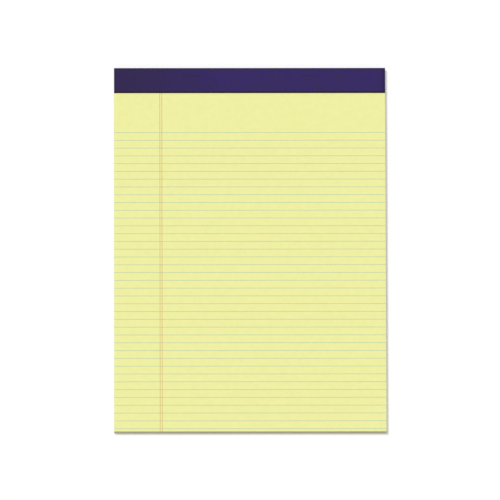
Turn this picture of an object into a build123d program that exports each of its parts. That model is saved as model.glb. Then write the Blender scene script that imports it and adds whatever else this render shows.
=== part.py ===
from build123d import *
import os

# Legal pad lying on its back, in millimetres.
# X runs across the pad, Y towards the bound head and Z up out of the writing face.
# The origin is the middle of the footprint, level with the lowest points.

# Sheets
pad_width = 215.9
sheet_length = 298.45
sheet_count = 50
loose_sheet_pitch = 0.0946
bound_sheet_pitch = 0.089

# Backing board
board_thickness = 0.8
board_press = 0.05

# Binding tape, folded round the head
tape_thickness = 0.15
tape_front_flap = 20.64
tape_back_flap = 21.8
fold_radius = 0.3
ridge_slope_width = 1.1

# Staples, bent from flat wire
wire_thickness = 0.5
wire_width = 0.6
wire_clearance = 0.02
crown_width = 12.5
inner_bend_radius = 0.15
clinch_tip_gap = 4.0
staple_spacing = 94.2
staple_from_head = 5.6

# Perforation below the tape
perforation_gap = 1.0
perforation_pitch = 2.0
slit_length = 1.4
slit_width = 0.08

# Rise of the sheets from the bound head to their loose thickness
rise_after_perforation = 1.4
rise_before_rules = 7.5

# Ruling
first_rule_from_head = 53.2
rule_pitch = 6.395
rule_width = 0.35
foot_clear = 1.8
margin_from_left = 36.45
margin_spacing = 1.6
margin_line_width = 0.35
ink_depth = 0.04

overrun = 1.0

# Levels, from the ridges that the pad lies on up to the writing face
bend_radius = inner_bend_radius + wire_thickness / 2
cavity_height = wire_thickness / 2 + wire_clearance
ridge_height = cavity_height + tape_thickness
board_bound_z = ridge_height
board_rest_z = board_bound_z - board_press
board_top_z = board_rest_z + board_thickness
bound_top_z = board_top_z + sheet_count * bound_sheet_pitch
loose_top_z = board_top_z + sheet_count * loose_sheet_pitch

# Stations along the pad
head_y = (sheet_length - tape_thickness) / 2
foot_y = head_y - sheet_length
front_flap_y = head_y - tape_front_flap
back_flap_y = head_y - tape_back_flap
staple_y = head_y - staple_from_head
perforation_y = front_flap_y - perforation_gap
rise_start_y = perforation_y - rise_after_perforation
first_rule_y = head_y - first_rule_from_head
rise_end_y = first_rule_y + rise_before_rules


def extrude_across(outline, width):
    """Turn an outline in (y, z) into a solid that is centred on X."""
    face = Plane.YZ * make_face(outline)
    return extrude(face, amount=width / 2, both=True)


def top_line(drop=0):
    """Follow the top of the sheets from the head fold to the foot, lowered by drop."""
    head = (head_y - fold_radius, bound_top_z - drop)
    rise_start = (rise_start_y, bound_top_z - drop)
    rise_middle = ((rise_start_y + rise_end_y) / 2, (bound_top_z + loose_top_z) / 2 - drop)
    rise_end = (rise_end_y, loose_top_z - drop)
    foot = (foot_y, loose_top_z - drop)
    hollow = TangentArc(rise_start, rise_middle, tangent=(-1, 0))
    crest = TangentArc(rise_middle, rise_end, tangent=hollow % 1)
    return [Line(head, rise_start), hollow, crest, Line(rise_end, foot)]


def sheet_block():
    """Make the stack of sheets, pressed thin at the head with its top edge eased under the tape."""
    fold = TangentArc(
        (head_y, bound_top_z - fold_radius), (head_y - fold_radius, bound_top_z), tangent=(0, 1)
    )
    sides = [
        Line((foot_y, loose_top_z), (foot_y, board_top_z)),
        Line((foot_y, board_top_z), (head_y, board_top_z)),
        Line((head_y, board_top_z), fold @ 0),
        fold,
    ]
    return extrude_across(sides + top_line(), pad_width)


def perforation():
    """Make the row of slits that lets a sheet tear off below the tape."""
    slit_height = loose_top_z - board_top_z + 2 * overrun
    slit = Box(slit_length, slit_width, slit_height)
    count = int(pad_width / perforation_pitch)
    row_middle = Pos(0, perforation_y, (board_top_z + loose_top_z) / 2)
    return [row_middle * place * slit for place in GridLocations(perforation_pitch, 0, count, 1)]


def ink_layer():
    """Make a layer as deep as the ink over the part of the sheets that the tape leaves bare."""
    top = top_line()
    bottom = top_line(ink_depth)
    ends = [Line(top[0] @ 0, bottom[0] @ 0), Line(top[-1] @ 1, bottom[-1] @ 1)]
    layer = extrude_across(top + bottom + ends, pad_width)
    page_length = front_flap_y - foot_y
    page_height = loose_top_z + 2 * overrun
    page = Box(pad_width + 2 * overrun, page_length, page_height, align=(Align.CENTER, Align.MAX, Align.MIN))
    return layer & Pos(0, front_flap_y, 0) * page


def margin_stripes():
    """Make the two upright stripes of the margin, taller than the pad."""
    stripe = Box(margin_line_width, sheet_length + 2 * overrun, loose_top_z + 2 * overrun)
    left_x = margin_from_left - pad_width / 2
    return Part() + [Pos(left_x + step * margin_spacing, 0, loose_top_z) * stripe for step in range(2)]


def rule_stripes():
    """Make the stripes of the ruling, from the first rule down to the foot."""
    stripe = Box(pad_width + 2 * overrun, rule_width, loose_top_z + 2 * overrun)
    count = 1 + int((sheet_length - first_rule_from_head - foot_clear) / rule_pitch)
    return Part() + [Pos(0, first_rule_y - row * rule_pitch, loose_top_z) * stripe for row in range(count)]


def staple(clearance=0):
    """Make a staple that stands round the origin in X, or with a clearance the bore for it."""

    def bent_line(offset):
        return FilletPolyline(
            (-clinch_tip_gap / 2 + clearance, board_bound_z - offset),
            (-crown_width / 2 - offset, board_bound_z - offset),
            (-crown_width / 2 - offset, bound_top_z + offset),
            (crown_width / 2 + offset, bound_top_z + offset),
            (crown_width / 2 + offset, board_bound_z - offset),
            (clinch_tip_gap / 2 - clearance, board_bound_z - offset),
            radius=bend_radius + offset,
        )

    outer = bent_line(wire_thickness / 2 + clearance)
    inner = bent_line(-wire_thickness / 2 - clearance)
    tips = [Line(outer @ 0, inner @ 0), Line(outer @ 1, inner @ 1)]
    side = Plane.XZ * make_face([outer, inner] + tips)
    return extrude(side, amount=wire_width / 2 + clearance, both=True)


def ridge_section():
    """Draw half the section of the tape where it tents over a wire, in (y, z) from the wire's axis."""
    shoulder_y = wire_width / 2
    slope_end_y = shoulder_y + ridge_slope_width
    outline = Polyline(
        (0, ridge_height),
        (shoulder_y, ridge_height),
        (slope_end_y, tape_thickness),
        (slope_end_y, 0),
        (shoulder_y, cavity_height),
        (0, cavity_height),
        close=True,
    )
    return make_face(outline)


def ridge(start_x, end_x):
    """Make the raised strip of tape over a wire that lies along X from start_x to end_x."""
    half = Plane.YZ * ridge_section()
    side = Pos(start_x, 0, 0) * extrude(half, amount=end_x - start_x)
    end = Pos(end_x, 0, 0) * revolve(half, Axis((0, 0, 0), (0, 0, -1)), revolution_arc=180)
    start = Pos(start_x, 0, 0) * revolve(half, Axis((0, 0, 0), (0, 0, 1)), revolution_arc=180)
    return side + mirror(side, about=Plane.XZ) + end + start


def ridge_hole(start_x, end_x):
    """Make the round-ended plug that clears the flat tape where a ridge goes."""
    middle_x = (start_x + end_x) / 2
    outline = SlotCenterToCenter(end_x - start_x, wire_width + 2 * ridge_slope_width)
    return Pos(middle_x, 0, 0) * extrude(outline, amount=tape_thickness + overrun, both=True)


def wire_spans():
    """List the spans of wire that lie under the tape, as (start_x, end_x), crown first."""
    bend_end_x = crown_width / 2 - inner_bend_radius
    tip_x = clinch_tip_gap / 2
    return [(-bend_end_x, bend_end_x), (-bend_end_x, -tip_x), (tip_x, bend_end_x)]


def wrap_line(offset):
    """Follow the outside of the bound head from the front flap's edge to the back flap's."""
    return FilletPolyline(
        (front_flap_y, bound_top_z + offset),
        (head_y + offset, bound_top_z + offset),
        (head_y + offset, board_bound_z - offset),
        (back_flap_y, board_bound_z - offset),
        radius=fold_radius + offset,
    )


def binding_tape():
    """Fold the tape round the head and raise it over each crown and clinched leg."""
    inner = wrap_line(0)
    outer = wrap_line(tape_thickness)
    ends = [Line(inner @ 0, outer @ 0), Line(inner @ 1, outer @ 1)]
    tape = extrude_across([inner, outer] + ends, pad_width)
    crown_span, *clinch_spans = wire_spans()
    for staple_x in (-staple_spacing / 2, staple_spacing / 2):
        front = Pos(staple_x, staple_y, bound_top_z)
        tape = tape - front * ridge_hole(*crown_span) + front * ridge(*crown_span)
        back = Pos(staple_x, staple_y, board_bound_z)
        for span in clinch_spans:
            tape = tape - back * ridge_hole(*span) + back * mirror(ridge(*span), about=Plane.XY)
    return tape


def backing_board():
    """Make the board, pressed thinner under the tape's back flap."""
    fold = TangentArc(
        (head_y, board_bound_z + fold_radius), (head_y - fold_radius, board_bound_z), tangent=(0, -1)
    )
    outline = [
        Line((foot_y, board_top_z), (head_y, board_top_z)),
        Line((head_y, board_top_z), fold @ 0),
        fold,
        Line(fold @ 1, (back_flap_y, board_bound_z)),
        Line((back_flap_y, board_bound_z), (back_flap_y, board_rest_z)),
        Line((back_flap_y, board_rest_z), (foot_y, board_rest_z)),
        Line((foot_y, board_rest_z), (foot_y, board_top_z)),
    ]
    return extrude_across(outline, pad_width)


left_place = Pos(-staple_spacing / 2, staple_y, 0)
right_place = Pos(staple_spacing / 2, staple_y, 0)
bores = [left_place * staple(wire_clearance), right_place * staple(wire_clearance)]
slits = perforation()
ink = ink_layer()
margin_ink = ink & margin_stripes()
rule_ink = ink & rule_stripes()

nodes = {
    "sheets": sheet_block() - bores - slits - margin_ink - rule_ink,
    "backing_board": backing_board() - bores,
    "binding_tape": binding_tape(),
    "staple_left": left_place * staple(),
    "staple_right": right_place * staple(),
    "margin_rules": margin_ink - slits,
    "blue_rules": rule_ink - margin_ink - slits,
}

os.makedirs("parts", exist_ok=True)
for name, shape in nodes.items():
    export_step(shape, f"parts/{name}.step")
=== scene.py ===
from math import radians

import bpy
import numpy as np
from mathutils import Matrix, Vector


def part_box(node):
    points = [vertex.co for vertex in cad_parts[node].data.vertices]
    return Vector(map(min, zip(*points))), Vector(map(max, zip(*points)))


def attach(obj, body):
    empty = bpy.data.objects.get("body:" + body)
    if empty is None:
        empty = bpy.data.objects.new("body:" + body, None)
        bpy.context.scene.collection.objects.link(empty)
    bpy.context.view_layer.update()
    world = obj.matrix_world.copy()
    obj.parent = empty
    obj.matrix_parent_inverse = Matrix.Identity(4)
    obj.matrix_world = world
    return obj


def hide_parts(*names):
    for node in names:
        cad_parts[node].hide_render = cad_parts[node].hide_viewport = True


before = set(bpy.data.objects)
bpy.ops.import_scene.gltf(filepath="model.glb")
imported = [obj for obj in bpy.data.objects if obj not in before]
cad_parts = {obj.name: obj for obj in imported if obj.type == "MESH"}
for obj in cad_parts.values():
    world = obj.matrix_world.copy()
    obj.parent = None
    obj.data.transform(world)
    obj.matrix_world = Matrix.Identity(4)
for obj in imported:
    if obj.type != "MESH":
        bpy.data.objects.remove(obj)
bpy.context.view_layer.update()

# Lengths are metres. X runs across the pad, Y towards the bound head, Z out of the writing face.

sheetLow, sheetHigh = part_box("sheets")
boardLow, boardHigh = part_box("backing_board")
tapeLow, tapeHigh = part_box("binding_tape")
wireLow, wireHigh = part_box("staple_right")
print("stage: frame loaded")

binding = {
    "thickness": 0.00015,       # of the tape
    "frontFlap": 0.02064,       # reach of the tape down the writing face
    "foldRadius": 0.0003,       # inside radius where the tape turns over an edge
    "ridgeLift": 0.00027,       # how high a wire lifts the tape
    "ridgeSlope": 0.0011,       # run of the tape from a wire's shoulder down to flat
    "tipGap": 0.004,            # between the two clinched wire tips
    "wireBend": 0.00015,        # inside radius of the wire's bends
    "rim": 0.00001,             # rounding of the cut edges
}

# Levels and stations that several pieces share
boundTopZ = tapeHigh.z - binding["ridgeLift"] - binding["thickness"]
boundBackZ = tapeLow.z + binding["ridgeLift"] + binding["thickness"]
headY, footY, halfWidth = sheetHigh.y, sheetLow.y, sheetHigh.x
frontFlapY = headY - binding["frontFlap"]
backFlapY = tapeLow.y
wireY = (wireHigh.y + wireLow.y) / 2
stapleX = (wireHigh.x + wireLow.x) / 2

# Runs along the tape's flat strip: round one fold, half the way from fold to fold, from the front
# edge to the spine's middle, and from the front edge to the back one
foldArc = radians(90) * binding["foldRadius"]
spineHalf = (boundTopZ - boundBackZ - 2 * binding["foldRadius"] + foldArc) / 2
spineRun = headY - binding["foldRadius"] - frontFlapY + foldArc / 2 + spineHalf
stripLength = spineRun + spineHalf + foldArc / 2 + headY - binding["foldRadius"] - backFlapY


def smoothShare(u):
    # Cubic ease: 3u squared less 2u cubed, held at 0 below 0 and at 1 above 1
    u = np.clip(u, 0, 1)
    return u * u * (3 - 2 * u)


def gridQuads(columns, rows, first=0):
    # Quads of a grid whose point (i, j) has the number first + i * rows + j
    corner = first + np.arange(columns - 1)[:, None] * rows + np.arange(rows - 1)[None, :]
    corner = corner.ravel()
    return np.stack([corner, corner + rows, corner + rows + 1, corner + 1], axis=1)


def borderPoints(columns, rows):
    # Border of the grid in order: along the first row, up the last column, back, and down
    across, up = np.arange(columns), np.arange(1, rows)
    return np.concatenate([
        across * rows, (columns - 1) * rows + up,
        across[-2::-1] * rows + rows - 1, up[-2::-1],
    ])


def closedSkin(top, low, rings=None, lowAsGrid=True):
    # Closed skin of two grids (columns, rows, 3), one over the other: their borders are joined by
    # the rings (levels, border, 3) that run from low to top. A point is a grid's (i, j) or a ring's
    # (k, p), and each face turns outwards.
    columns, rows = top.shape[:2]
    border = borderPoints(columns, rows)
    count = columns * rows
    lowPoints = low.reshape(-1, 3)
    if not lowAsGrid:
        lowPoints = lowPoints[border]
    points = [top.reshape(-1, 3), lowPoints]
    lowBorder = count + (border if lowAsGrid else np.arange(len(border)))
    loops = [lowBorder]
    first = count + len(lowPoints)
    if rings is not None:
        points.append(rings.reshape(-1, 3))
        loops.extend(first + np.arange(rings.shape[0] * len(border)).reshape(rings.shape[0], -1))
    loops = np.array([*loops, border])
    nextLoops = np.roll(loops, -1, axis=1)
    sides = np.stack([loops[:-1], nextLoops[:-1], nextLoops[1:], loops[1:]], axis=-1).reshape(-1, 4)
    faces = {"top": gridQuads(columns, rows), "side": sides}
    if lowAsGrid:
        faces["low"] = gridQuads(columns, rows, count)[:, ::-1]
    else:
        faces["low"] = lowBorder[None, ::-1]
    return np.concatenate(points), faces


def addPiece(name, points, faces, material, slotName, replaced, smooth=(), marks=None, flat=None):
    # One mesh from an array of points and groups of faces; marks gives each group a face value, and
    # flat gives each point its place on the sheet before it was folded
    mesh = bpy.data.meshes.new(name)
    allFaces = [face for group in faces.values() for face in group.tolist()]
    mesh.from_pydata(points.tolist(), [], allFaces)
    sizes = [len(group) for group in faces.values()]
    smoothFaces = np.repeat([group in smooth for group in faces], sizes)
    mesh.polygons.foreach_set("use_smooth", smoothFaces)
    if marks:
        layer = mesh.attributes.new("cutEdge", "FLOAT", "FACE")
        layer.data.foreach_set("value", np.repeat([marks.get(g, 0.0) for g in faces], sizes))
    if flat is not None:
        corners = np.zeros(len(mesh.loops), int)
        mesh.loops.foreach_get("vertex_index", corners)
        layer = mesh.uv_layers.new(name="unfolded")
        layer.data.foreach_set("uv", flat[corners].ravel())
    mesh.materials.append(material)
    mesh.validate()
    mesh.update()
    piece = bpy.data.objects.new(name, mesh)
    bpy.context.scene.collection.objects.link(piece)
    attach(piece, "root")
    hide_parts(*replaced)
    print("stage:", name, len(mesh.polygons), "faces")


# Shader tools

def addNode(tree, kind, values=None, **settings):
    node = tree.nodes.new(kind)
    for key, value in settings.items():
        setattr(node, key, value)
    for key, value in (values or {}).items():
        if isinstance(value, bpy.types.NodeSocket):
            tree.links.new(value, node.inputs[key])
        else:
            node.inputs[key].default_value = value
    return node


def mixColour(tree, factor, first, second, blend="MIX"):
    # A Mix node for colours has its factor at input 0, its colours at 6 and 7, and its result at 2
    node = addNode(tree, "ShaderNodeMix", data_type="RGBA", blend_type=blend)
    for index, value in ((0, factor), (6, first), (7, second)):
        if isinstance(value, bpy.types.NodeSocket):
            tree.links.new(value, node.inputs[index])
        else:
            node.inputs[index].default_value = value
    return node.outputs[2]


def mapRange(tree, value, low, high, toLow=0.0, toHigh=1.0):
    node = addNode(tree, "ShaderNodeMapRange", {
        "Value": value, "From Min": low, "From Max": high, "To Min": toLow, "To Max": toHigh})
    return node.outputs["Result"]


def calc(tree, operation, first, second=0.0):
    node = addNode(tree, "ShaderNodeMath", {0: first, 1: second}, operation=operation)
    return node.outputs[0]


def colour(red, green, blue):
    # Display values from 0 to 255 turned into linear light
    share = np.array([red, green, blue]) / 255
    light = np.where(share <= 0.04045, share / 12.92, ((share + 0.055) / 1.055) ** 2.4)
    return (*light.tolist(), 1.0)


def newGroup(name, inputs, outputs):
    # A node group with named sockets, and its inner ends
    tree = bpy.data.node_groups.new(name, "ShaderNodeTree")
    for socketName, kind, default in inputs:
        socket = tree.interface.new_socket(socketName, in_out="INPUT", socket_type=kind)
        if default is not None:
            socket.default_value = default
    for socketName, kind in outputs:
        tree.interface.new_socket(socketName, in_out="OUTPUT", socket_type=kind)
    return tree, addNode(tree, "NodeGroupInput"), addNode(tree, "NodeGroupOutput")


pulp = {
    "lays": ((0.5, (1.0, 0.22, 1.0)), (2.1, (0.25, 1.0, 1.0))),     # turn and stretch of the fibres
    "contrast": (0.3, 0.7),         # middle part of the noises that is spread from 0 to 1
}


def buildPulpGrain():
    # Paper pulp: a slow cloudiness, and short crossing fibres from two stretched noises
    tree, source, result = newGroup(
        "pulpGrain",
        [("Vector", "NodeSocketVector", None), ("Cloud Scale", "NodeSocketFloat", 300.0),
         ("Fibre Scale", "NodeSocketFloat", 1500.0)],
        [("Cloud", "NodeSocketFloat"), ("Fibre", "NodeSocketFloat")])
    cloud = addNode(tree, "ShaderNodeTexNoise", {
        "Vector": source.outputs["Vector"], "Scale": source.outputs["Cloud Scale"],
        "Detail": 4.0, "Roughness": 0.55})
    fibres = []
    for turn, stretch in pulp["lays"]:
        laid = addNode(tree, "ShaderNodeMapping", {
            "Vector": source.outputs["Vector"], "Rotation": (0.0, 0.0, turn), "Scale": stretch})
        fibre = addNode(tree, "ShaderNodeTexNoise", {
            "Vector": laid.outputs[0], "Scale": source.outputs["Fibre Scale"],
            "Detail": 3.0, "Roughness": 0.6, "Distortion": 0.4})
        fibres.append(fibre.outputs[0])
    both = calc(tree, "MULTIPLY", calc(tree, "ADD", *fibres), 0.5)
    tree.links.new(mapRange(tree, cloud.outputs[0], *pulp["contrast"]), result.inputs["Cloud"])
    tree.links.new(mapRange(tree, both, *pulp["contrast"]), result.inputs["Fibre"])
    return tree


pulpGrain = buildPulpGrain()


def startMaterial(name, **shader):
    # A material with the given values on its shader's sockets, whose names have _ for each space
    material = bpy.data.materials.new(name)
    material.use_nodes = True
    tree = material.node_tree
    surface = tree.nodes["Principled BSDF"]
    for key, value in shader.items():
        surface.inputs[key.replace("_", " ")].default_value = value
    return material, tree, surface


def objectPlace(tree):
    return addNode(tree, "ShaderNodeTexCoord").outputs["Object"]


def placeGrain(tree, place, look):
    grain = addNode(tree, "ShaderNodeGroup", node_tree=pulpGrain)
    tree.links.new(place, grain.inputs["Vector"])
    grain.inputs["Cloud Scale"].default_value = look["cloudScale"]
    grain.inputs["Fibre Scale"].default_value = look["fibreScale"]
    return grain.outputs["Cloud"], grain.outputs["Fibre"]


def linkBump(tree, surface, height, distance, strength):
    bump = addNode(tree, "ShaderNodeBump", {
        "Height": height, "Distance": distance, "Strength": strength})
    tree.links.new(bump.outputs[0], surface.inputs["Normal"])


paper = {
    "light": colour(240.8, 240.0, 163.4),       # the two tones of a sheet's clouds
    "deep": colour(236.8, 236.8, 156.6),
    "fibre": colour(243, 243, 176),
    "edgeLight": colour(240, 237, 192),         # the two tones of the cut edges
    "edgeDeep": colour(212, 206, 168),
    "cloudScale": 210.0,
    "fibreScale": 1700.0,
    "fibreRange": (0.45, 1.0),      # part of the grain over which the fibres' tone comes up
    "fibreShare": 0.8,
    "strataScale": (50.0, 50.0, 10600.0),   # one band of tone for about each sheet
    "strataRange": (0.35, 0.65),
    "specular": 0.2,
    "roughness": (0.78, 0.92),
    "toothDepth": 0.000025,
    "toothStrength": 0.6,
}


def yellowPaper():
    # Clouded paper with paler fibres, and on its cut edges one band of tone for about each sheet
    material, tree, surface = startMaterial("yellowPaper", Specular_IOR_Level=paper["specular"])
    place = objectPlace(tree)
    cloud, fibre = placeGrain(tree, place, paper)
    face = mixColour(tree, cloud, paper["light"], paper["deep"])
    paleShare = mapRange(tree, fibre, *paper["fibreRange"], 0.0, paper["fibreShare"])
    face = mixColour(tree, paleShare, face, paper["fibre"])
    laid = addNode(tree, "ShaderNodeMapping", {"Vector": place, "Scale": paper["strataScale"]})
    strata = addNode(tree, "ShaderNodeTexNoise", {
        "Vector": laid.outputs[0], "Scale": 1.0, "Detail": 2.0})
    band = mapRange(tree, strata.outputs[0], *paper["strataRange"])
    edge = mixColour(tree, band, paper["edgeDeep"], paper["edgeLight"])
    cutEdge = addNode(tree, "ShaderNodeAttribute", attribute_name="cutEdge").outputs["Fac"]
    tree.links.new(mixColour(tree, cutEdge, face, edge), surface.inputs["Base Color"])
    tree.links.new(mapRange(tree, fibre, 0, 1, *paper["roughness"]), surface.inputs["Roughness"])
    linkBump(tree, surface, fibre, paper["toothDepth"], paper["toothStrength"])
    return material


tapeLook = {
    "blue": colour(50, 37, 101),
    "plum": colour(54, 38, 91),
    "faded": colour(48, 36, 78),    # towards the left end
    "shadeTone": colour(36, 27, 44),     # painted shade along the cut edges and at the folds
    "specular": 0.08,
    "roughness": (0.68, 0.5),       # in the pattern's hollows, on its heights
    "mottleScale": 120.0,           # of the slow change between the two tones
    "mottleRange": (0.36, 0.64),
    "pebbleScale": 1500.0,
    "threadScale": 420.0,
    "patternRange": (-0.6, 0.6),    # from the pattern's hollows to its heights
    # painted shade in the pattern's hollows and painted light on its heights, as factors on the tone
    "paintedReliefShade": (0.9, 1.1),
    "grainDepth": 0.00003,
    "grainStrength": 0.5,
    "edgeRun": (0.001, 0.0018),     # from a cut edge: painted shade up to here, none from there
    "foldRun": (0.0002, 0.0009),    # from the middle of a fold, likewise
    "edgeShade": 0.95,
    "foldShade": 0.5,
    "shadeBreak": 0.00045,           # how far the weave shifts the painted shade's border to either side
    "fadeShare": 0.9,
    "fadeRun": (0.018, 0.09),       # from the left end: faded up to here, full from there
}


def darkTape():
    # Embossed paper tape: rounded pebbles between crossed threads, over a slow mottle of two tones.
    # The pattern lies on the flat strip, so it runs round the folds
    material, tree, surface = startMaterial("darkTape", Specular_IOR_Level=tapeLook["specular"])
    place = addNode(tree, "ShaderNodeUVMap", uv_map="unfolded").outputs["UV"]
    mottle = addNode(tree, "ShaderNodeTexNoise", {
        "Vector": place, "Scale": tapeLook["mottleScale"], "Detail": 3.0, "Roughness": 0.6})
    pebble = addNode(tree, "ShaderNodeTexVoronoi", {
        "Vector": place, "Scale": tapeLook["pebbleScale"], "Randomness": 0.8}, feature="SMOOTH_F1")
    threads = []
    for direction in ("X", "Y"):
        wave = addNode(tree, "ShaderNodeTexWave", {
            "Vector": place, "Scale": tapeLook["threadScale"], "Distortion": 1.2,
            "Detail": 2.0, "Detail Scale": 1.5}, bands_direction=direction)
        threads.append(wave.outputs["Fac"])
    weave = calc(tree, "MULTIPLY", *threads)
    height = calc(tree, "SUBTRACT", weave, pebble.outputs["Distance"])
    blueShare = mapRange(tree, mottle.outputs[0], *tapeLook["mottleRange"])
    tone = mixColour(tree, blueShare, tapeLook["plum"], tapeLook["blue"])
    split = addNode(tree, "ShaderNodeSeparateXYZ", {0: place})
    faded = mapRange(tree, split.outputs["X"], *tapeLook["fadeRun"], tapeLook["fadeShare"], 0.0)
    tone = mixColour(tree, faded, tone, tapeLook["faded"])
    # Painted shade and light: the tone is darkened in the pattern's hollows and lightened on its
    # heights
    reliefShadeFactor = mapRange(tree, height, *tapeLook["patternRange"], *tapeLook["paintedReliefShade"])
    shaded = mixColour(tree, 1.0, tone, reliefShadeFactor, "MULTIPLY")
    along = split.outputs["Y"]
    # Painted shade along the cut edges and at the folds: there the tone is mixed towards a dark
    # colour, with a border that the weave breaks up
    shadeBreak = tapeLook["shadeBreak"]
    shift = mapRange(tree, height, *tapeLook["patternRange"], -shadeBreak, shadeBreak)
    fromEdge = calc(tree, "MINIMUM", along, calc(tree, "SUBTRACT", stripLength, along))
    fromEdge = calc(tree, "ADD", fromEdge, shift)
    edgeShade = mapRange(tree, fromEdge, *tapeLook["edgeRun"], tapeLook["edgeShade"], 0.0)
    fromSpine = calc(tree, "ABSOLUTE", calc(tree, "SUBTRACT", along, spineRun))
    fromFold = calc(tree, "ABSOLUTE", calc(tree, "SUBTRACT", fromSpine, spineHalf))
    fromFold = calc(tree, "ADD", fromFold, shift)
    foldShade = mapRange(tree, fromFold, *tapeLook["foldRun"], tapeLook["foldShade"], 0.0)
    shadeShare = calc(tree, "MAXIMUM", edgeShade, foldShade)
    tree.links.new(mixColour(tree, shadeShare, shaded, tapeLook["shadeTone"]), surface.inputs["Base Color"])
    roughness = mapRange(tree, height, *tapeLook["patternRange"], *tapeLook["roughness"])
    tree.links.new(roughness, surface.inputs["Roughness"])
    linkBump(tree, surface, height, tapeLook["grainDepth"], tapeLook["grainStrength"])
    return material


chipboardLook = {
    "base": colour(158, 146, 124),
    "deep": colour(138, 126, 106),
    "fleckDark": colour(96, 86, 72),
    "fleckLight": colour(196, 188, 170),
    "cloudScale": 70.0,
    "fibreScale": 1900.0,
    "fibreRange": (0.35, 1.0),
    "fibreShare": 0.45,
    "flecks": (                     # tone and turn of each kind, and the part of the noise it takes
        ("fleckDark", 0.7, 0.66, 0.72),
        ("fleckLight", 2.4, 0.68, 0.75),
    ),
    "fleckScale": 720.0,
    "fleckStretch": (1.0, 0.3, 5.0),
    "fleckShare": 0.8,
    "specular": 0.15,
    "roughness": (0.84, 0.96),
    "fibreDepth": 0.00005,
    "fibreStrength": 0.7,
}


def greyBoard():
    # Pulped waste board: clouded fibre with scattered dark and light flecks
    look = chipboardLook
    material, tree, surface = startMaterial("greyBoard", Specular_IOR_Level=look["specular"])
    place = objectPlace(tree)
    cloud, fibre = placeGrain(tree, place, look)
    tone = mixColour(tree, cloud, look["base"], look["deep"])
    paleShare = mapRange(tree, fibre, *look["fibreRange"], 0.0, look["fibreShare"])
    tone = mixColour(tree, paleShare, tone, look["fleckLight"])
    for key, turn, low, high in look["flecks"]:
        laid = addNode(tree, "ShaderNodeMapping", {
            "Vector": place, "Rotation": (0.0, 0.0, turn), "Scale": look["fleckStretch"]})
        fleck = addNode(tree, "ShaderNodeTexNoise", {
            "Vector": laid.outputs[0], "Scale": look["fleckScale"], "Detail": 2.0, "Distortion": 0.8})
        fleckShare = mapRange(tree, fleck.outputs[0], low, high, 0.0, look["fleckShare"])
        tone = mixColour(tree, fleckShare, tone, look[key])
    tree.links.new(tone, surface.inputs["Base Color"])
    tree.links.new(mapRange(tree, fibre, 0, 1, *look["roughness"]), surface.inputs["Roughness"])
    linkBump(tree, surface, fibre, look["fibreDepth"], look["fibreStrength"])
    return material


inkLook = {
    "blueFull": colour(136, 186, 177),
    "blueThin": colour(178, 213, 188),
    "redFull": colour(188, 131, 66),
    "redThin": colour(225, 179, 104),
    "roughness": (0.74, 0.9),
}


def printInk(name, full, thin):
    # Ink that sinks into the paper's fibres, so its tone breaks up a little along a line
    material, tree, surface = startMaterial(name, Specular_IOR_Level=paper["specular"])
    _, fibre = placeGrain(tree, objectPlace(tree), paper)
    tree.links.new(mixColour(tree, fibre, full, thin), surface.inputs["Base Color"])
    tree.links.new(mapRange(tree, fibre, 0, 1, *inkLook["roughness"]), surface.inputs["Roughness"])
    linkBump(tree, surface, fibre, paper["toothDepth"], paper["toothStrength"])
    return material


steelLook = {
    "dark": colour(176, 177, 178),
    "pale": colour(206, 205, 200),
    "drawnStretch": (1.0, 9.0, 9.0),
    "scratchScale": 900.0,
    "scratchRange": (0.3, 0.7),
    "roughness": (0.24, 0.42),
}


def stapleSteel():
    # Drawn wire: fine scratches along it, which change its tone and its gloss
    material, tree, surface = startMaterial("stapleSteel", Metallic=1.0)
    drawn = addNode(tree, "ShaderNodeMapping", {
        "Vector": objectPlace(tree), "Scale": steelLook["drawnStretch"]})
    scratch = addNode(tree, "ShaderNodeTexNoise", {
        "Vector": drawn.outputs[0], "Scale": steelLook["scratchScale"], "Detail": 2.0}).outputs[0]
    shade = mixColour(tree, scratch, steelLook["dark"], steelLook["pale"])
    tree.links.new(shade, surface.inputs["Base Color"])
    roughness = mapRange(tree, scratch, *steelLook["scratchRange"], *steelLook["roughness"])
    tree.links.new(roughness, surface.inputs["Roughness"])
    return material


paperMaterial = yellowPaper()
tapeMaterial = darkTape()
boardMaterial = greyBoard()
blueInk = printInk("blueInk", inkLook["blueFull"], inkLook["blueThin"])
redInk = printInk("redInk", inkLook["redFull"], inkLook["redThin"])
steelMaterial = stapleSteel()
print("stage: materials built")


pages = {
    "count": 50,
    "rim": 0.00007,             # play between the longest and the shortest sheet edge
    "edgeReach": (0.62, 0.9),   # share of that play that each sheet reaches out
    "driftShare": 0.1,          # how far this changes along the edge
    "driftTurns": (9.0, 23.0),  # radians per metre of the two waves that it changes by
    "grooveShare": 0.35,        # of the reach, in the groove between two sheets
    "headGroove": 0.2,          # depth of the grooves at the head, as a share of the play
    "riseStart": 0.02304,       # from the head, where the sheets leave the tape's pressure
    "riseEnd": 0.0455,          # and where they lie loose
    "flatStep": 0.005,          # grid step down the flat part of the page
    "riseRows": 16,
    "waveHeight": 0.00004,      # slow unevenness of the top sheet
    "crossTurns": (31.0, 24.0),     # radians per metre across and along
    "crossStarts": (0.6, 1.1),      # radians
    "slantTurns": (52.0, -19.0),    # radians per metre across and along
    "slantShare": 0.6,
    "calmRun": 0.06,            # the waves grow to their full height over this run below the rise
    "cornerLift": 0.00004,
    "cornerPower": 6,
    "cornerRun": 0.05,          # the corners' lift grows to its full height over this run at the foot
    "slitPitch": 0.002,
    "slitLength": 0.0014,
    "slitWidth": 0.00004,
    "slitFromFlap": 0.001,      # from the tape's front edge
    "slitFloor": 0.0001,        # height of a slit's floor above the board
    "seed": 11,
}


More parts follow.
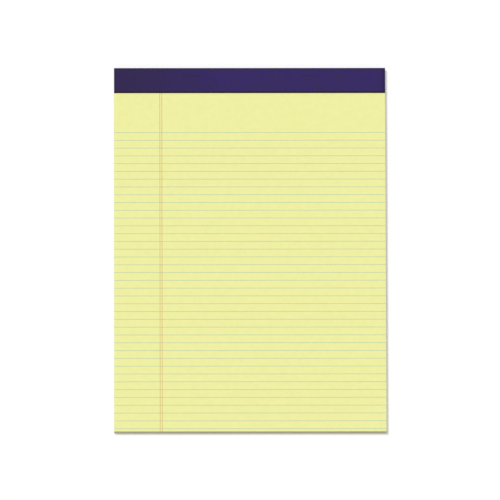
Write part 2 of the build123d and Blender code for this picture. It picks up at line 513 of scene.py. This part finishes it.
def pageHeight(x, y):
    # Pressed height at the head, two mirrored parabolas up to the loose height, and on the loose
    # part a sum of two slow waves and a lift towards the foot's corners
    share = np.clip((headY - pages["riseStart"] - y) / (pages["riseEnd"] - pages["riseStart"]), 0, 1)
    ramp = np.where(share < 0.5, 2 * share**2, 1 - 2 * (1 - share) ** 2)
    turnX, turnY = pages["crossTurns"]
    startX, startY = pages["crossStarts"]
    slantX, slantY = pages["slantTurns"]
    crossed = np.sin(turnX * x + startX) * np.cos(turnY * y + startY)
    slanted = pages["slantShare"] * np.sin(slantX * x + slantY * y)
    wave = (crossed + slanted) / (1 + pages["slantShare"])
    nearFoot = smoothShare((footY + pages["cornerRun"] - y) / pages["cornerRun"])
    corner = np.abs(x / halfWidth) ** pages["cornerPower"] * nearFoot
    loose = sheetHigh.z + pages["waveHeight"] * wave + pages["cornerLift"] * corner
    calm = smoothShare((headY - pages["riseEnd"] - y) / pages["calmRun"])
    return boundTopZ + (sheetHigh.z - boundTopZ) * ramp + (loose - sheetHigh.z) * calm


def foldReach(z, centreZ, side):
    # How far an edge folded round a quarter circle reaches at height z beyond the circle's centre
    radius = binding["foldRadius"]
    beyond = np.clip((z - centreZ) * side, 0, radius)
    return np.sqrt(radius**2 - beyond**2)


def outwardSigns(columns, rows):
    # A grid's border points, the way each one faces across, -1, 0 or 1, and a 1 for each that is in
    # the last row, and in the first row
    border = borderPoints(columns, rows)
    column, row = border // rows, border % rows
    across = (column == columns - 1).astype(float) - (column == 0)
    return border, across, (row == rows - 1).astype(float), (row == 0).astype(float)


def edgeHeights(top, low, levels):
    # Heights of rings between two grids' borders: each is its level's share of the way up
    border = borderPoints(*top.shape[:2])
    topZ, lowZ = top.reshape(-1, 3)[border, 2], low.reshape(-1, 3)[border, 2]
    return lowZ + (topZ - lowZ) * levels[:, None]


def edgeRings(top, z, out, head):
    # Rings at the heights z that stand past the grid's border: by out at the sides and the foot,
    # and by head at the head
    border, across, atHead, atFoot = outwardSigns(*top.shape[:2])
    x, y = top.reshape(-1, 3)[border, 0], top.reshape(-1, 3)[border, 1]
    return np.stack([x + across * out, y + atHead * head - atFoot * out, z], axis=-1)


def slitColumns():
    # Start of each slit across the page, in one evenly pitched row that is centred
    count = int(2 * halfWidth / pages["slitPitch"])
    return (np.arange(count) - (count - 1) / 2) * pages["slitPitch"] - pages["slitLength"] / 2


def buildPages():
    # The block of sheets. Its top is a grid, each sheet's cut edge is a ridge round its sides with
    # its own small reach, which drifts by the product of two waves, and each slit is a well
    rim = pages["rim"]
    starts = slitColumns()
    ends = starts + pages["slitLength"]
    columnX = np.sort(np.concatenate([[rim - halfWidth], starts, ends, [halfWidth - rim]]))
    slitY = frontFlapY - pages["slitFromFlap"]
    flatEnd, riseTop = headY - pages["riseEnd"], headY - pages["riseStart"]
    flatRows = np.linspace(footY + rim, flatEnd, int((flatEnd - footY) / pages["flatStep"]))
    riseRows = np.linspace(flatEnd, riseTop, pages["riseRows"])[1:]
    slitRows = slitY + np.array([-0.5, 0.5]) * pages["slitWidth"]
    rowY = np.concatenate([flatRows, riseRows, slitRows, [frontFlapY, headY - binding["foldRadius"]]])
    columns, rows = len(columnX), len(rowY)
    x, y = np.meshgrid(columnX, rowY, indexing="ij")
    top = np.stack([x, y, pageHeight(x, y)], axis=-1)
    low = np.stack([x, y, np.full_like(x, boardHigh.z)], axis=-1)

    # Cut edges: a ring in the middle of each sheet, and one in each groove between two sheets
    levels = np.arange(1, 2 * pages["count"]) / (2 * pages["count"])
    groove = (np.arange(len(levels)) % 2 == 1)[:, None]
    z = edgeHeights(top, low, levels)
    random = np.random.default_rng(pages["seed"])
    reach = random.uniform(*pages["edgeReach"], len(levels))
    drift = random.uniform(0, 2 * np.pi, (2, len(levels)))
    outline = top.reshape(-1, 3)[borderPoints(columns, rows), :2]
    run = np.cumsum(np.hypot(*np.diff(outline, axis=0, prepend=outline[:1]).T))
    slow, fast = np.sin(np.array(pages["driftTurns"])[:, None, None] * run + drift[:, :, None])
    play = reach[:, None] + pages["driftShare"] * slow * fast
    out = rim * np.where(groove, play * pages["grooveShare"], play)
    head = foldReach(z, boundTopZ - binding["foldRadius"], 1) - pages["headGroove"] * rim * groove
    points, faces = closedSkin(top, low, edgeRings(top, z, out, head), lowAsGrid=False)

    # Wells: the grid's quads at the slits become four walls and a floor
    slitRow = len(flatRows) + len(riseRows)
    startColumn = 1 + 2 * np.arange(len(starts))
    corner = startColumn * rows + slitRow
    mouth = np.stack([corner, corner + rows, corner + rows + 1, corner + 1], axis=1)
    isSlit = np.isin(faces["top"][:, 0], corner)
    faces["top"] = faces["top"][~isSlit]
    bottom = points[mouth.ravel()].copy()
    bottom[:, 2] = boardHigh.z + pages["slitFloor"]
    well = len(points) + np.arange(mouth.size).reshape(mouth.shape)
    nextMouth, nextWell = np.roll(mouth, -1, axis=1), np.roll(well, -1, axis=1)
    walls = np.stack([mouth, nextMouth, nextWell, well], axis=-1).reshape(-1, 4)
    faces["wells"] = np.concatenate([walls, well])
    points = np.concatenate([points, bottom])
    addPiece("pageBlock", points, faces, paperMaterial, "yellow_paper", ["sheets"],
             marks={"side": 1.0, "wells": 1.0})


buildPages()


board = {
    "rim": 0.00009,             # softness of the cut edges
    "levels": (0.06, 0.2, 0.5, 0.8, 0.94),      # of the edge's rings, as shares of its thickness
    "reaches": (0.6, 0.95, 1.0, 0.95, 0.6),     # of the rings, as shares of the rim
    "columns": 12,
    "bareRows": 14,
    "coveredRows": 4,
    "stepRun": 0.000001,        # run of the step at the back flap's edge
}


def buildBoard():
    # The board: a thin block, stepped thinner under the tape's back flap, whose cut edges are
    # softened by rings that reach out least at its faces and most in the middle
    rim = board["rim"]
    columnX = np.linspace(-halfWidth + rim, halfWidth - rim, board["columns"])
    bareRows = np.linspace(footY + rim, backFlapY - board["stepRun"], board["bareRows"])
    coveredRows = np.linspace(backFlapY, headY - binding["foldRadius"], board["coveredRows"])
    x, y = np.meshgrid(columnX, np.concatenate([bareRows, coveredRows]), indexing="ij")
    lowZ = np.where(y < backFlapY - board["stepRun"] / 2, boardLow.z, boundBackZ)
    top = np.stack([x, y, np.full_like(x, boardHigh.z)], axis=-1)
    low = np.stack([x, y, lowZ], axis=-1)
    z = edgeHeights(top, low, np.array(board["levels"]))
    out = rim * np.array(board["reaches"])[:, None]
    head = foldReach(z, boundBackZ + binding["foldRadius"], -1)
    points, faces = closedSkin(top, low, edgeRings(top, z, out, head))
    addPiece("backBoard", points, faces, boardMaterial, "chipboard", ["backing_board"])


buildBoard()


wrap = {
    "columns": 60,              # from end to end
    "stapleColumns": 60,        # finer ones round each staple
    "stapleReach": 0.0085,      # of these, to each side of the staple's middle
    "wireRows": 24,             # finer rows over a wire
    "wireReach": 0.0018,        # of these, to each side of the wire
    "flapRows": 14,             # from a flap's edge up to these
    "headRows": 4,              # from these to the fold
    "foldRows": 8,
    "spineRows": 5,
    "innerGap": 0.000002,       # left between the tape and what it is glued to
}


def ridgeLift(x, y, spans):
    # The tape's lift over wires: full over a wire, and down by the cubic ease along its slope, which
    # starts half a wire's width away from the line that the wire follows
    lift = np.zeros_like(x)
    for startX, endX in spans:
        away = np.hypot(x - np.clip(x, startX, endX), y - wireY) - (wireHigh.y - wireLow.y) / 2
        lift = np.maximum(lift, smoothShare(1 - away / binding["ridgeSlope"]))
    return lift * binding["ridgeLift"]


def wireSpans():
    # Spans of wire under the tape: each staple's crown in front, its two clinched legs behind
    bendX = (wireHigh.x - wireLow.x) / 2 - (wireHigh.z - boundTopZ) - binding["wireBend"]
    tipX = binding["tipGap"] / 2
    front = [(side * stapleX - bendX, side * stapleX + bendX) for side in (-1, 1)]
    back = [(side * stapleX + near, side * stapleX + far) for side in (-1, 1)
            for near, far in ((-bendX, -tipX), (tipX, bendX))]
    return front, back


def spread(*runs):
    # Points from run to run: each run is (start, end, count), and points within a nanometre of each
    # other are kept once
    return np.unique(np.concatenate([np.linspace(*run) for run in runs]).round(9))


def tapePath():
    # The folded strip's line in (y, z): the front flap, a quarter circle, the spine, a quarter
    # circle and the back flap; with the angle that its face looks in, and where each flap ends
    radius, reach = binding["foldRadius"], wrap["wireReach"]
    finer = ((wireY - reach, wireY + reach, wrap["wireRows"]),
             (wireY + reach, headY - radius, wrap["headRows"]))
    frontY = spread((frontFlapY + binding["rim"], wireY - reach, wrap["flapRows"]), *finer)
    backY = spread((backFlapY + binding["rim"], wireY - reach, wrap["flapRows"]), *finer)[::-1]
    turn = np.radians(np.linspace(90, 0, wrap["foldRows"]))[1:-1]
    foldY, foldZ = headY - radius + radius * np.cos(turn), radius * np.sin(turn)
    spineZ = np.linspace(boundTopZ - radius, boundBackZ + radius, wrap["spineRows"])
    pathY = np.concatenate([frontY, foldY, np.full_like(spineZ, headY), foldY[::-1], backY])
    pathZ = np.concatenate([
        np.full_like(frontY, boundTopZ), boundTopZ - radius + foldZ, spineZ,
        boundBackZ + radius - foldZ[::-1], np.full_like(backY, boundBackZ)])
    angle = np.concatenate([
        np.full_like(frontY, np.pi / 2), turn, np.zeros_like(spineZ), -turn[::-1],
        np.full_like(backY, -np.pi / 2)])
    return pathY, pathZ, angle, len(frontY), len(pathY) - len(backY)


def buildTape():
    # The tape: a strip carried along its folded path, and moved out along the path's normal by its
    # lift over the wires. Its pattern's place is (run from the left end, run from the front edge)
    thickness, rim = binding["thickness"], binding["rim"]
    edgeX, near = halfWidth - rim, wrap["stapleReach"]
    finer = [(side * stapleX - near, side * stapleX + near, wrap["stapleColumns"]) for side in (-1, 1)]
    columnX = spread((-edgeX, edgeX, wrap["columns"]), *finer)
    pathY, pathZ, angle, frontEnd, backStart = tapePath()
    x, y = np.meshgrid(columnX, pathY, indexing="ij")
    frontSpans, backSpans = wireSpans()
    place = np.arange(len(pathY))
    lift = ridgeLift(x, y, frontSpans) * (place < frontEnd)
    lift += ridgeLift(x, y, backSpans) * (place >= backStart)

    def layer(offset):
        away = lift + offset
        return np.stack([x, y + away * np.cos(angle), pathZ + away * np.sin(angle)], axis=-1)

    outer, inner = layer(thickness), layer(wrap["innerGap"])
    border, across, atBack, atFront = outwardSigns(*x.shape)
    middle = (outer.reshape(-1, 3)[border] + inner.reshape(-1, 3)[border]) / 2
    middle[:, 0] += across * rim
    middle[:, 1] -= (atFront + atBack) * rim
    points, faces = closedSkin(outer, inner, middle[None])
    run = np.cumsum(np.hypot(np.diff(pathY, prepend=pathY[:1]), np.diff(pathZ, prepend=pathZ[:1])))
    unfolded = np.stack([x + halfWidth, np.broadcast_to(run, x.shape)], axis=-1).reshape(-1, 2)
    flat = np.concatenate([unfolded, unfolded, unfolded[border]])
    addPiece("tapeWrap", points, faces, tapeMaterial, "binding_tape", ["binding_tape"],
             smooth=("top", "low"), flat=flat)


buildTape()


printing = {
    "pitch": 0.006395,
    "firstRule": 0.0532,        # from the head
    "footClear": 0.0018,        # kept free below the last rule
    "ruleWidth": 0.00035,
    "marginWidth": 0.00035,
    "marginFromLeft": 0.03645,
    "marginSpacing": 0.0016,
    "blueHeight": 0.000008,     # of the ink's film above the paper
    "redHeight": 0.000012,
    "sunk": 0.000008,           # how deep a film's underside lies in the paper
    "ruleColumns": 60,
    "marginRows": (70, 40),     # below the rise, and over it
}


def inkStrip(x, y, height):
    # A film of ink over a grid of (x, y): the page's height, and over it the film's own, with its
    # underside a little in the paper
    top = np.stack([x, y, pageHeight(x, y) + height], axis=-1)
    low = np.stack([x, y, pageHeight(x, y) - printing["sunk"]], axis=-1)
    return closedSkin(top, low)


def joinStrips(strips):
    # All strips as one set of points and faces, where each strip's numbers follow the last one's
    firsts = np.cumsum([0] + [len(points) for points, _ in strips])
    points = np.concatenate([points for points, _ in strips])
    faces = {group: np.concatenate([f[group] + first for (_, f), first in zip(strips, firsts)])
             for group in ("top", "side", "low")}
    return points, faces


def buildRules():
    # The blue rules: evenly pitched strips from edge to edge, laid on the page's height
    ruledLength = headY - footY - printing["firstRule"] - printing["footClear"]
    count = 1 + int(ruledLength / printing["pitch"])
    ruleX = np.linspace(-halfWidth + pages["rim"], halfWidth - pages["rim"], printing["ruleColumns"])
    strips = []
    for row in range(count):
        middle = headY - printing["firstRule"] - row * printing["pitch"]
        ruleY = middle + np.array([-0.5, 0.5]) * printing["ruleWidth"]
        strips.append(inkStrip(*np.meshgrid(ruleX, ruleY, indexing="ij"), printing["blueHeight"]))
    addPiece("ruledLines", *joinStrips(strips), blueInk, "blue_ink", ["blue_rules"])


def buildMargin():
    # The margin lines: two strips from the foot up to the tape, laid on the page's height
    flatRows, riseRows = printing["marginRows"]
    flatEnd = headY - pages["riseEnd"]
    lineY = spread((footY + pages["rim"], flatEnd, flatRows), (flatEnd, frontFlapY, riseRows))
    strips = []
    for step in range(2):
        middle = -halfWidth + printing["marginFromLeft"] + step * printing["marginSpacing"]
        lineX = middle + np.array([-0.5, 0.5]) * printing["marginWidth"]
        strips.append(inkStrip(*np.meshgrid(lineX, lineY, indexing="ij"), printing["redHeight"]))
    addPiece("marginLines", *joinStrips(strips), redInk, "red_ink", ["margin_rules"])


buildRules()
buildMargin()

for name in ("staple_left", "staple_right"):
    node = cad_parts[name]
    node.data.materials.clear()
    node.data.materials.append(steelMaterial)
print("stage: print and staples dressed")


studio = {
    "floorHalf": 4.0,
    "floorDepth": -0.00002,     # just under the pad's lowest points
    "floorColour": (0.8, 0.8, 0.8, 1.0),
    "floorLift": 0.245,         # light added to the floor for the camera, so that it shows white
    "skyStrength": 0.45,
    "keyStrength": 1.84,
    "keyAngle": 16.0,           # apparent size of the soft key, degrees
    "keyTilt": 20.0,            # from straight above
    "keyTurn": 38.0,            # from the left towards the head
    "cameraDistance": 15.0,     # metres
    "cameraLens": 1359.3,       # millimetres
    "cameraTurn": (-14.683, 0.374, 0.044),      # degrees about X, Y and Z, in that order
    "cameraShift": (0.00001, -0.00059),         # metres that it stands to the right and up
    "clipFactor": 4,            # how far the camera sees, in times its distance
}


def seenDirectly(tree):
    # 1 for what the camera sees straight, in a reflection or through glass
    path = addNode(tree, "ShaderNodeLightPath").outputs
    first = calc(tree, "MAXIMUM", path["Is Camera Ray"], path["Is Glossy Ray"])
    return calc(tree, "MAXIMUM", first, path["Is Transmission Ray"])


def buildFloor():
    # One large pale square, which the camera sees as white but for the pad's shadow
    half, depth = studio["floorHalf"], studio["floorDepth"]
    mesh = bpy.data.meshes.new("paleFloor")
    edge = [(-half, -half, depth), (half, -half, depth), (half, half, depth), (-half, half, depth)]
    mesh.from_pydata(edge, [], [(0, 1, 2, 3)])
    material, tree, surface = startMaterial("paleFloor", Roughness=1.0, Specular_IOR_Level=0.0)
    surface.inputs["Base Color"].default_value = studio["floorColour"]
    surface.inputs["Emission Color"].default_value = (1.0, 1.0, 1.0, 1.0)
    strength = calc(tree, "MULTIPLY", seenDirectly(tree), studio["floorLift"])
    tree.links.new(strength, surface.inputs["Emission Strength"])
    mesh.materials.append(material)
    floor = bpy.data.objects.new("paleFloor", mesh)
    bpy.context.scene.collection.objects.link(floor)


def buildLight():
    # A weak even sky, which the camera sees as white, and one soft sun
    world = bpy.data.worlds.new("studioSky")
    bpy.context.scene.world = world
    world.use_nodes = True
    tree = world.node_tree
    strength = mapRange(tree, seenDirectly(tree), 0.0, 1.0, studio["skyStrength"], 1.0)
    sky = tree.nodes["Background"]
    sky.inputs["Color"].default_value = (1.0, 1.0, 1.0, 1.0)
    tree.links.new(strength, sky.inputs["Strength"])
    lamp = bpy.data.lights.new("softKey", "SUN")
    lamp.energy = studio["keyStrength"]
    lamp.angle = radians(studio["keyAngle"])
    key = bpy.data.objects.new("softKey", lamp)
    turn = Matrix.Rotation(radians(-studio["keyTurn"]), 4, "Z")
    tilt = Matrix.Rotation(radians(-studio["keyTilt"]), 4, "Y")
    key.matrix_world = turn @ tilt
    bpy.context.scene.collection.objects.link(key)


def buildCamera():
    # The camera stands off the middle of the writing face, along the turned line of sight
    angles = zip(studio["cameraTurn"], "XYZ")
    turnX, turnY, turnZ = (Matrix.Rotation(radians(angle), 3, axis) for angle, axis in angles)
    view = turnZ @ turnY @ turnX
    shiftX, shiftY = studio["cameraShift"]
    middle = Vector((0.0, (headY + footY) / 2, sheetHigh.z))
    place = middle + view.transposed() @ Vector((shiftX, shiftY, studio["cameraDistance"]))
    camera = bpy.data.objects.new("photoView", bpy.data.cameras.new("photoView"))
    camera.data.lens = studio["cameraLens"]
    camera.data.clip_end = studio["clipFactor"] * studio["cameraDistance"]
    camera.matrix_world = Matrix.Translation(place) @ view.transposed().to_4x4()
    bpy.context.scene.collection.objects.link(camera)
    bpy.context.scene.camera = camera


buildFloor()
buildLight()
buildCamera()
bpy.context.scene.view_settings.view_transform = "Standard"
print("stage: studio set")
